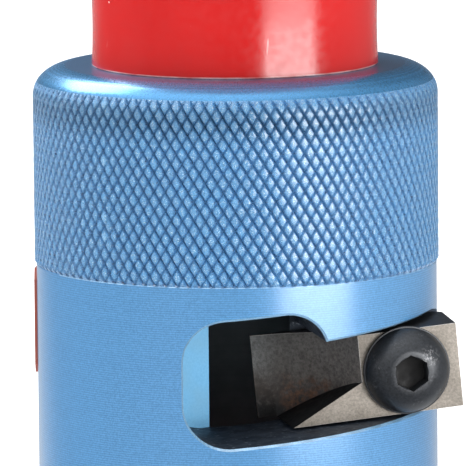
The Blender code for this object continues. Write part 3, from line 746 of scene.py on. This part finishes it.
def head_look(centre, normal):
    """Key of the head's material for a face, from its centre in millimetres and its normal."""
    x, y, z = centre
    r = sqrt(x * x + y * y)
    outward = (normal.x * x + normal.y * y) / r
    in_pocket = y < SEAT_Y and POCKET_ABOVE < z < KNURL_Z0
    walls = in_pocket and r < BODY_R - 0.2
    # Painted shade: the seat is pale blue left of the bore, and its right half, under the cutter,
    # takes the dark wall material.
    if abs(y - SEAT_Y) < 0.02 and normal.y < -0.99:
        return "floor_blue" if x < 0 else "wall"
    # Painted shade: the bore's faces take the dark bored material.
    if r < CHAMBER_R + 0.6 and z < BODY_Z1 - 1 and (abs(outward) > 0.9 or not walls):
        return "bore"
    # Painted highlight: the window's edge break takes the paler blue.
    if in_pocket and r > BODY_R - 0.35 and outward < 0.97:
        return "edge"
    # Painted shade: the pocket's walls take the dark wall material.
    if walls:
        return "wall"
    if KNURL_Z0 - 0.05 < z < KNURL_TOP and r > shoulder_radius(z) - 0.8:
        return "knurl"
    # The top face takes a darker copy of the blue as painted shade; the shoulder takes a lighter,
    # more metallic copy as painted light.
    if z > BODY_Z1 - 0.01:
        return "top"
    return "shoulder" if z > BODY_Z1 - SHOULDER_H else "blue"


def make_head():
    head = make_object("head", head_mesh(), *HEAD_LOOKS)
    cut(head, pocket_cutter())
    reach = 8
    cut(head, turned_mesh([(0, -reach), (TAPPED_R, -reach), (TAPPED_R, reach), (0, reach)], 32,
                          TILTED @ SCREW_AXIS))
    for angle, height, inner in SCREW_HOLES:
        surface = KNURL_R if height > KNURL_Z0 else BODY_R
        hole = [(0, inner), (SCREW_HOLE_R, inner), (SCREW_HOLE_R, surface - 0.3),
                (SCREW_HOLE_R + 0.9, surface + 0.6), (0, surface + 0.6)]
        cut(head, turned_mesh(hole, 32, radial(radians(angle), height)))
    materials = list(head.data.materials)
    index = {key: materials.index(MATERIALS[key]) for key in HEAD_LOOKS}
    for face in head.data.polygons:
        face.material_index = index[head_look(face.center / MM, face.normal)]
    finish_piece(head, "head", ["body"], 32)


# ------------------------ the cutter

def relief_wheel(lying):
    """What the grinding wheel takes from the bar: a hollow down to the edge at its left
    end, but only above the slanted line where the land starts."""
    start, end = Vector((RELIEF_U, BLADE_FRONT)), Vector((BLADE_U0, BLADE_BACK + TIP))
    chord = end - start
    rise = sqrt(GRIND_R ** 2 - (chord.length / 2) ** 2)
    side = Vector((chord.y, -chord.x)).normalized()
    centre = (start + end) / 2 + side * rise * (1 if side.y > 0 else -1)
    first = atan2(start.y - centre.y, start.x - centre.x)
    last = atan2(end.y - centre.y, end.x - centre.x)
    rim = arc(centre, GRIND_R, first, last, 40)
    past_end, reach = BLADE_U0 - 3, BLADE_FRONT + 5
    outline = [*rim, (past_end, rim[-1][1]), (past_end, reach), (RELIEF_U, reach)]
    wheel = make_object("wheel", prism_mesh(outline, BLADE_S0 - 2, BLADE_S1 + 2, lying),
                        "hollow")

    slope = (RELIEF_KNEE_S - RELIEF_LOW[1]) / (RELIEF_U - RELIEF_LOW[0])
    left, right, above = BLADE_U0 - 5, RELIEF_U + 2, BLADE_S1 + 4

    def land(u):
        """Height of the land's upper edge."""
        return RELIEF_KNEE_S + slope * (u - RELIEF_U)

    over_land = [(left, above), (left, land(left)), (RELIEF_U, RELIEF_KNEE_S),
                 (right, land(right)), (right, above)]
    cut(wheel, prism_mesh(over_land, 0, 2 * BODY_R, FACING_OUT), "hollow",
        operation="INTERSECT")
    bm = bmesh.new()
    bm.from_mesh(wheel.data)
    bpy.data.objects.remove(wheel)
    return bm


def make_blade():
    """Square bar, hollow ground from the front so that its left end is a sharp edge."""
    corner = 1.6
    tail = (BLADE_U1 + BLADE_TAIL - corner, BLADE_BACK + corner)
    outline = [(BLADE_U0, BLADE_BACK), *arc(tail, corner, -pi / 2, 0, 10),
               (BLADE_U1, BLADE_FRONT), (BLADE_U0, BLADE_FRONT)]
    lying = Matrix.Scale(-1, 4, (0, 1, 0))
    blade = make_object("cutter", prism_mesh(outline, BLADE_S0, BLADE_S1, lying),
                        "tan_steel", "steel_painted_shade", "hollow")
    cut(blade, relief_wheel(lying), "hollow")
    low, high = BLADE_BACK - 1, BLADE_FRONT + 1
    cut(blade, turned_mesh([(0, low), (BLADE_HOLE_R, low), (BLADE_HOLE_R, high), (0, high)],
                           48, SCREW_AXIS))

    blade.data.materials.append(MATERIALS["shadow_black"])
    looks = list(blade.data.materials)
    hollow, shadow_black, tan, dark = [looks.index(MATERIALS[key])
                               for key in ("hollow", "shadow_black", "tan_steel", "steel_painted_shade")]
    for face in blade.data.polygons:
        if face.material_index == hollow:
            # Painted shade: the land's own wall is painted near black.
            if abs(face.normal.z) > 0.3:     # the land's own wall
                face.material_index = shadow_black
            continue
        # Painted shade: the front face is tan steel and every other face a dark copy of it.
        face.material_index = tan if face.normal.y < -0.9 else dark
    # Bevels take the pale steel, partly wear and partly a painted highlight on the edges.
    worn = len(looks)
    blade.data.materials.append(MATERIALS["worn_edge_and_highlight"])
    round_edges(blade, 0.16, worn)
    # Painted shade: the bevels low on the left, where the grind falls into shade, take the near
    # black material.
    for face in blade.data.polygons:
        low_left = face.center.x < RELIEF_U * MM and face.center.z < -MM
        if face.material_index == worn and low_left:
            face.material_index = shadow_black
    blade.data.transform(TILTED)
    finish_piece(blade, "head", ["cutter_blade"], 40)


def button_dome():
    """Outline of the button head from its rim up to the flat round the socket, between an
    ellipse and a ball, and drawn in a little at its foot."""
    flat = 0.48 * HEAD_R
    rise = HEAD_H - HEAD_RIM
    ball_z = (HEAD_H ** 2 + flat ** 2 - HEAD_RIM ** 2 - HEAD_R ** 2) / (2 * rise)
    ball_r = sqrt(flat ** 2 + (HEAD_H - ball_z) ** 2)
    dome = []
    for share in spaced(0, 1, 20):
        t = pi / 2 * share
        r = flat + (HEAD_R - flat) * cos(t)
        ball = ball_z + sqrt(ball_r ** 2 - r ** 2)
        z = 0.35 * (HEAD_RIM + rise * sin(t)) + 0.65 * ball
        dome.append((r - 0.22 * (1 - share), z + 0.10 * (1 - share)))
    return dome


def make_blade_screw():
    """Button head socket screw with a coned socket bottom and a chamfered mouth."""
    place = TILTED @ Matrix.Translation(Vector((SCREW_U, -SCREW_SEAT, SCREW_S)) * MM) @ FACING_OUT
    root, crest = SCREW_R - 0.55, SCREW_R - 0.05
    thread_z0 = 0.5 - SCREW_LENGTH
    thread = []
    for i in range(int(THREAD_LENGTH / SCREW_PITCH)):
        z = thread_z0 + i * SCREW_PITCH
        thread += [(root, z), (crest, z + 0.42), (crest, z + 0.58)]
    profile = [(0, -SCREW_LENGTH), (SCREW_R - 0.8, -SCREW_LENGTH), *thread,
               (crest, thread_z0 + THREAD_LENGTH + 0.2), (SCREW_R, 0.0),
               (HEAD_R - 0.22, 0.0), (HEAD_R - 0.06, 0.08), (HEAD_R, 0.22),
               (HEAD_R, HEAD_RIM - 0.06), (HEAD_R - 0.05, HEAD_RIM + 0.02),
               (HEAD_R - 0.16, HEAD_RIM + 0.03), *button_dome(), (0, HEAD_H)]
    screw = make_object("button_screw", turned_mesh(profile, 96, place), "black_head")

    corner = SOCKET_AF / sqrt(3)
    hexagon = arc((0, 0), corner, 0, 2 * pi * 5 / 6, 5)
    cut(screw, prism_mesh(hexagon, HEAD_H - SOCKET_DEPTH, HEAD_H + 1,
                          place @ Matrix.Rotation(SOCKET_TURN, 4, "Z")))
    flats = SOCKET_AF / 2
    mouth = [(0, HEAD_H - 0.12), (flats, HEAD_H - 0.12), (flats + 0.3, HEAD_H + 0.18),
             (0, HEAD_H + 0.18)]
    cut(screw, turned_mesh(mouth, 64, place))
    drill_r, bottom = flats - 0.08, HEAD_H - SOCKET_DEPTH
    drill = [(0, bottom - 0.75), (drill_r, bottom + 0.05), (drill_r, bottom + 0.3),
             (0, bottom + 0.3)]
    cut(screw, turned_mesh(drill, 48, place))

    screw.data.materials.append(MATERIALS["shadow_black"])
    screw.data.materials.append(MATERIALS["steel_painted_shade"])
    socket, rim = 1, 2
    outward = (place.to_3x3() @ Vector((0, 0, 1))).normalized()
    mouth_centre = place @ Vector((0, 0, HEAD_H * MM))
    for face in screw.data.polygons:
        offset = (face.center - mouth_centre) / MM
        depth = -offset.dot(outward)
        # Painted shade: the socket's inside takes the near black material.
        if 0.3 < depth < 3 and (offset + outward * depth).length < corner:
            face.material_index = socket
        # Painted shade: the rim below the dome takes the dark copy of the bar steel.
        elif HEAD_H - HEAD_RIM < depth < HEAD_H - 0.2:
            face.material_index = rim
    finish_piece(screw, "head", ["blade_screw"], 28)


# ------------------------ the handle

COLLAR_R, COLLAR_WAIST, COLLAR_Z1 = 17.12, 0.12, BODY_Z1 + 9.5
GRIP_NECK_R, GRIP_SWELL, GRIP_FLARE = 17.35, 2.0, 0.9
GRIP_BORE_R, GRIP_FOOT_BORE_R, GRIP_FOOT_Z = 13.05, 14.3, 77.7
FLUTES, FLUTE_R, FLUTE_OFFSET, FLUTE_Z0, FLUTE_Z1 = 12, 3.0, 21.3, 92.0, 150.0
FLUTE_RUN_OUT, FLUTE_LIFT, FLUTE_SOFTNESS = 5.0, 2.4, 0.25
PIN_Z, PIN_HOLE_R = 128.0, 1.55


def grip_radius(z):
    share = (z - COLLAR_Z1) / (GRIP_Z1 - COLLAR_Z1)
    return GRIP_NECK_R + GRIP_SWELL * sin(pi * max(0.0, share) ** 0.8) + GRIP_FLARE * share


def press_flutes(grip):
    """Moves the grip's outside in, along round-bottomed flutes that run out at both ends."""
    pitch = 2 * pi / FLUTES
    outside_r = 16.0     # the bore is nearer the axis than this
    for v in grip.data.vertices:
        x, y, z = v.co / MM
        r = sqrt(x * x + y * y)
        if r < outside_r or not FLUTE_Z0 < z < FLUTE_Z1:
            continue
        turns = atan2(y, x) / pitch - 0.5
        off = (turns - round(turns)) * pitch
        run_out = min(1.0, (z - FLUTE_Z0) / FLUTE_RUN_OUT, (FLUTE_Z1 - z) / FLUTE_RUN_OUT)
        centre = FLUTE_OFFSET + (1 - sin(pi / 2 * run_out)) * FLUTE_LIFT
        under = FLUTE_R ** 2 - (centre * sin(off)) ** 2
        if under > 0:
            gap = r - (centre * cos(off) - sqrt(under))
            soft = FLUTE_SOFTNESS
            depth = 0.5 * (gap + sqrt(gap * gap + soft * soft)) - 0.5 * soft
            v.co.x *= 1 - max(0.0, depth) / r
            v.co.y *= 1 - max(0.0, depth) / r


def make_grip():
    """Red grip: a collar with a slight waist, a fluted swell and a hole for each pin."""
    base = BODY_Z1 + 0.015
    collar_z0 = base + 0.12
    collar = [(COLLAR_R - COLLAR_WAIST * sin(pi * share),
               collar_z0 + (COLLAR_Z1 - collar_z0) * share) for share in spaced(0, 1, 16)]
    levels = spaced(COLLAR_Z1 + 0.1, GRIP_Z1 - 0.5, 60)
    rim = grip_radius(GRIP_Z1)
    profile = [(GRIP_FOOT_BORE_R, base + 0.3), (GRIP_FOOT_BORE_R + 0.3, base),
               (COLLAR_R - 0.12, base), *collar, *[(grip_radius(z), z) for z in levels],
               (rim - 0.1, GRIP_Z1 - 0.15), (rim - 0.5, GRIP_Z1),
               (GRIP_BORE_R + 0.15, GRIP_Z1), (GRIP_BORE_R, GRIP_Z1 - 0.2),
               (GRIP_BORE_R, GRIP_FOOT_Z), (GRIP_FOOT_BORE_R, GRIP_FOOT_Z)]
    grip = make_object("grip", turned_mesh(profile, 360), "red")
    press_flutes(grip)
    hole = [(0, 11), (PIN_HOLE_R, 11), (PIN_HOLE_R, 18.6), (2.2, 22), (0, 22)]
    for turn in (0, pi):
        cut(grip, turned_mesh(hole, 32, radial(turn, PIN_Z)))
    finish_piece(grip, "handle", ["handle_grip"], 35)


def make_end_cap():
    """Domed cap with a thumb dish, and a grooved plug below it for the O-ring."""
    low = GRIP_Z1 + 0.1
    rim = grip_radius(GRIP_Z1)
    edge = low + 2.5
    height = CAP_Z1 - edge
    dish_r, dish_depth = 7.0, 0.9
    plug_r, groove_r, plug_z0 = 12.95, 11.6, GRIP_Z1 - 9
    groove_z0, groove_z1 = GRIP_Z1 - 5.8, GRIP_Z1 - 4.2

    def dished(r, z):
        if r < dish_r:
            z -= dish_depth * (0.5 + 0.5 * cos(pi * r / dish_r))
        return r, z

    dome = [dished(rim * cos(t), edge + height * sin(t))
            for t in spaced(0, pi / 2, 40)[:-1]]
    profile = [(0, plug_z0), (plug_r - 0.85, plug_z0), (plug_r, plug_z0 + 0.8),
               (plug_r, groove_z0), (groove_r, groove_z0), (groove_r, groove_z1),
               (plug_r, groove_z1), (plug_r, low), (rim - 0.5, low), (rim - 0.1, low + 0.15),
               (rim, low + 0.5), *dome, (0, CAP_Z1 - dish_depth)]
    cap = make_object("cap", turned_mesh(profile, 180), "red")
    finish_piece(cap, "handle", ["end_cap"], 35)


def make_guide_bush():
    """Flanged bush with a rounded lead-in, on whose flange the tool stands."""
    flange_r, flange_h, corner = 17.1, 3.0, 0.8
    r, bore, lead, lead_stretch = 11.0, 7.1, 2.6, 1.6
    lead_in = [(bore + lead * (1 - sin(t)), lead * lead_stretch * sin(t))
               for t in spaced(pi / 2, 0, 10)[:-1]]
    profile = [(bore + lead, 0.0), (flange_r - corner, 0.0),
               *arc((flange_r - corner, corner), corner, -pi / 2, 0, 8)[1:],
               (flange_r, flange_h - 0.2), (flange_r - 0.2, flange_h), (r, flange_h),
               (r, BUSH_Z1 - 0.8), (r - 0.8, BUSH_Z1), (bore + 0.2, BUSH_Z1),
               (bore, BUSH_Z1 - 0.2), *lead_in]
    bush = make_object("bush", turned_mesh(profile, 180), "red")
    finish_piece(bush, "head", ["guide_bush"], 35)


def make_reamer_spring():
    """Wound wire with closed end turns, drawn at the length of its CAD node; the real spring
    shortens when the reamer is pushed up.
    """
    low, high = node_size("reamer_spring")
    wire, turns, closed, around, sides = 0.5, 8, 1.25, 40, 12
    mean_r = high.x - wire
    first, last = low.z + wire, high.z - wire
    open_pitch = (last - first - 4 * closed * wire) / (turns - 2 * closed)

    def height(turn):
        """Height of the wire's middle after that many turns."""
        end = 2 * wire * min(turn, closed)
        far_end = 2 * wire * max(0.0, turn - turns + closed)
        return first + end + far_end + open_pitch * max(0.0, min(turn, turns - closed) - closed)

    bm = bmesh.new()
    rings = []
    for i in range(turns * around + 1):
        turn = i / around
        angle = 2 * pi * turn
        section = arc((mean_r, height(turn)), wire, 0, 2 * pi * (1 - 1 / sides), sides - 1)
        rings.append([bm.verts.new((r * cos(angle) * MM, r * sin(angle) * MM, z * MM))
                      for r, z in section])
    for one, other in zip(rings, rings[1:]):
        for j in range(sides):
            k = (j + 1) % sides
            bm.faces.new((one[j], one[k], other[k], other[j]))
    bm.faces.new(rings[0])
    bm.faces.new(rings[-1])
    spring = make_object("spring", facing_out(bm), "steel")
    finish_piece(spring, "head", ["reamer_spring"], 40)
    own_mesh(spring)


# ------------------------ nodes kept from the CAD

KEPT = {
    "black": [*[f"bush_set_screw_{i}" for i in (1, 2, 3)], "spindle_set_screw_1",
              "spindle_set_screw_2", "reamer_key_screw"],
    "steel": ["cone_reamer", "spindle", "clutch_cup", "spindle_washer", "circlip",
              "handle_pin_1", "handle_pin_2", *[f"clutch_roller_{i}" for i in range(1, 9)]],
    "bronze": ["thrust_washer", "clutch_cage", "upper_bush"],
    "aluminium": ["handle_core"],
    "rubber": ["end_cap_o_ring"],
    "label": ["size_label"],
}


def dress_kept_nodes():
    for look, names in KEPT.items():
        for name in names:
            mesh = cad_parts[name].data
            mesh.materials.clear()
            mesh.materials.append(MATERIALS[look])


# ------------------------ stage, light, camera

VIEW_AZIMUTH, VIEW_ELEVATION = radians(-12), radians(7.8)
VIEW_Z, VIEW_DISTANCE = BODY_Z1 - 20.5, 887.0
VIEW_ROLL, VIEW_SHIFT = radians(-0.5), 0.3


def direction(azimuth, elevation):
    """Unit vector from the tool; azimuth 0 is in front (-Y) and 90 degrees is +X."""
    return Vector((sin(azimuth) * cos(elevation), -cos(azimuth) * cos(elevation), sin(elevation)))


def make_floor():
    """Plain white floor that glows a little, just below the tool."""
    n = Nodes("stage_floor", (0.93, 0.93, 0.93), 0.9, 0.0)
    n.set(n.shader, "Base Color", n.mix(n.noise(0.004), (0.92, 0.92, 0.92), (0.94, 0.94, 0.94)))
    n.set(n.shader, "Emission Color", (1, 1, 1, 1))
    n.set(n.shader, "Emission Strength", 0.32)
    reach, below = 8.0, 0.00002
    corners = [(-reach, -reach), (reach, -reach), (reach, reach), (-reach, reach)]
    bm = bmesh.new()
    bm.faces.new([bm.verts.new((x, y, -below)) for x, y in corners])
    floor = make_object("stage_floor", bm)
    floor.data.materials.append(n.material)
    floor.visible_glossy = False      # the studio below the horizon is what the metal reflects


def area_light(name, azimuth, elevation, distance, width, height, radiance):
    """Softbox that faces the head; its azimuth is in degrees from the camera's own
    direction, and its sizes are in metres."""
    data = bpy.data.lights.new(name, "AREA")
    data.shape = "RECTANGLE"
    data.size, data.size_y = width, height
    data.energy = radiance * pi * width * height
    lamp = add_object(name, data)
    out = direction(VIEW_AZIMUTH + radians(azimuth), radians(elevation))
    lamp.location = Vector((0, 0, VIEW_Z * MM)) + out * distance
    lamp.rotation_euler = out.to_track_quat("Z", "Y").to_euler()
    lamp.visible_camera = False
    return lamp


# (azimuth from the camera, elevation, cosine where it starts, cosine where it is full, radiance)
WORLD_ZONES = [
    (0, 0, -2.0, -1.5, 0.08),       # everywhere
    (-85, 0, -0.1, 0.9, 0.15),      # left
    (-60, 68, 0.3, 1.0, 1.5),       # high on the left
    (10, 0, 0.2, 1.0, 0.12),        # in front
    (90, 0, 0.3, 1.0, 0.35),        # right
    (180, -50, 0.5, 0.9, 0.9),      # low behind
]


def make_world():
    """Dim studio that is bright high on the left and low behind."""
    world = bpy.data.worlds.new("studio")
    world.use_nodes = True
    tree = world.node_tree
    towards = tree.nodes.new("ShaderNodeTexCoord").outputs["Generated"]

    def glow(azimuth, elevation, start, end, amount):
        """Radiance that rises smoothly from start to end of the cosine to a direction."""
        dot = tree.nodes.new("ShaderNodeVectorMath")
        dot.operation = "DOT_PRODUCT"
        tree.links.new(towards, dot.inputs[0])
        middle = direction(VIEW_AZIMUTH + radians(azimuth), radians(elevation))
        dot.inputs[1].default_value = middle
        rise = tree.nodes.new("ShaderNodeMapRange")
        rise.interpolation_type = "SMOOTHSTEP"
        tree.links.new(dot.outputs["Value"], rise.inputs["Value"])
        rise.inputs["From Min"].default_value = start
        rise.inputs["From Max"].default_value = end
        rise.inputs["To Max"].default_value = amount
        return rise.outputs["Result"]

    total = glow(*WORLD_ZONES[0])
    for zone in WORLD_ZONES[1:]:
        add = tree.nodes.new("ShaderNodeMath")
        tree.links.new(total, add.inputs[0])
        tree.links.new(glow(*zone), add.inputs[1])
        total = add.outputs[0]
    back = tree.nodes["Background"]
    back.inputs["Color"].default_value = (0.97, 0.985, 1.0, 1)
    tree.links.new(total, back.inputs["Strength"])
    bpy.context.scene.world = world


def make_lights():
    area_light("softbox_right", 45, 2, 0.45, 0.36, 0.13, 9.5)
    fill = area_light("fill_left", -92, 8, 0.9, 0.4, 0.5, 6.0)
    fill.visible_glossy = False
    area_light("softbox_behind", -138, 44, 0.9, 0.55, 0.40, 7.0)


def make_camera():
    data = bpy.data.cameras.new("camera")
    data.lens = 569
    data.sensor_width = 36
    data.clip_start, data.clip_end = 0.05, 30
    camera = add_object("camera", data)
    out = direction(VIEW_AZIMUTH, VIEW_ELEVATION)
    right = Vector((cos(VIEW_AZIMUTH), sin(VIEW_AZIMUTH), 0))
    aim = Vector((0, 0, VIEW_Z * MM)) - right * VIEW_SHIFT * MM
    facing = out.to_track_quat("Z", "Y").to_matrix().to_4x4()
    camera.matrix_world = (Matrix.Translation(aim + out * VIEW_DISTANCE * MM) @ facing
                           @ Matrix.Rotation(VIEW_ROLL, 4, "Z"))
    bpy.context.scene.camera = camera


make_head()
make_blade()
make_blade_screw()
make_grip()
make_end_cap()
make_guide_bush()
make_reamer_spring()
dress_kept_nodes()
make_floor()
make_world()
make_lights()
make_camera()
bpy.context.scene.view_settings.view_transform = "Standard"
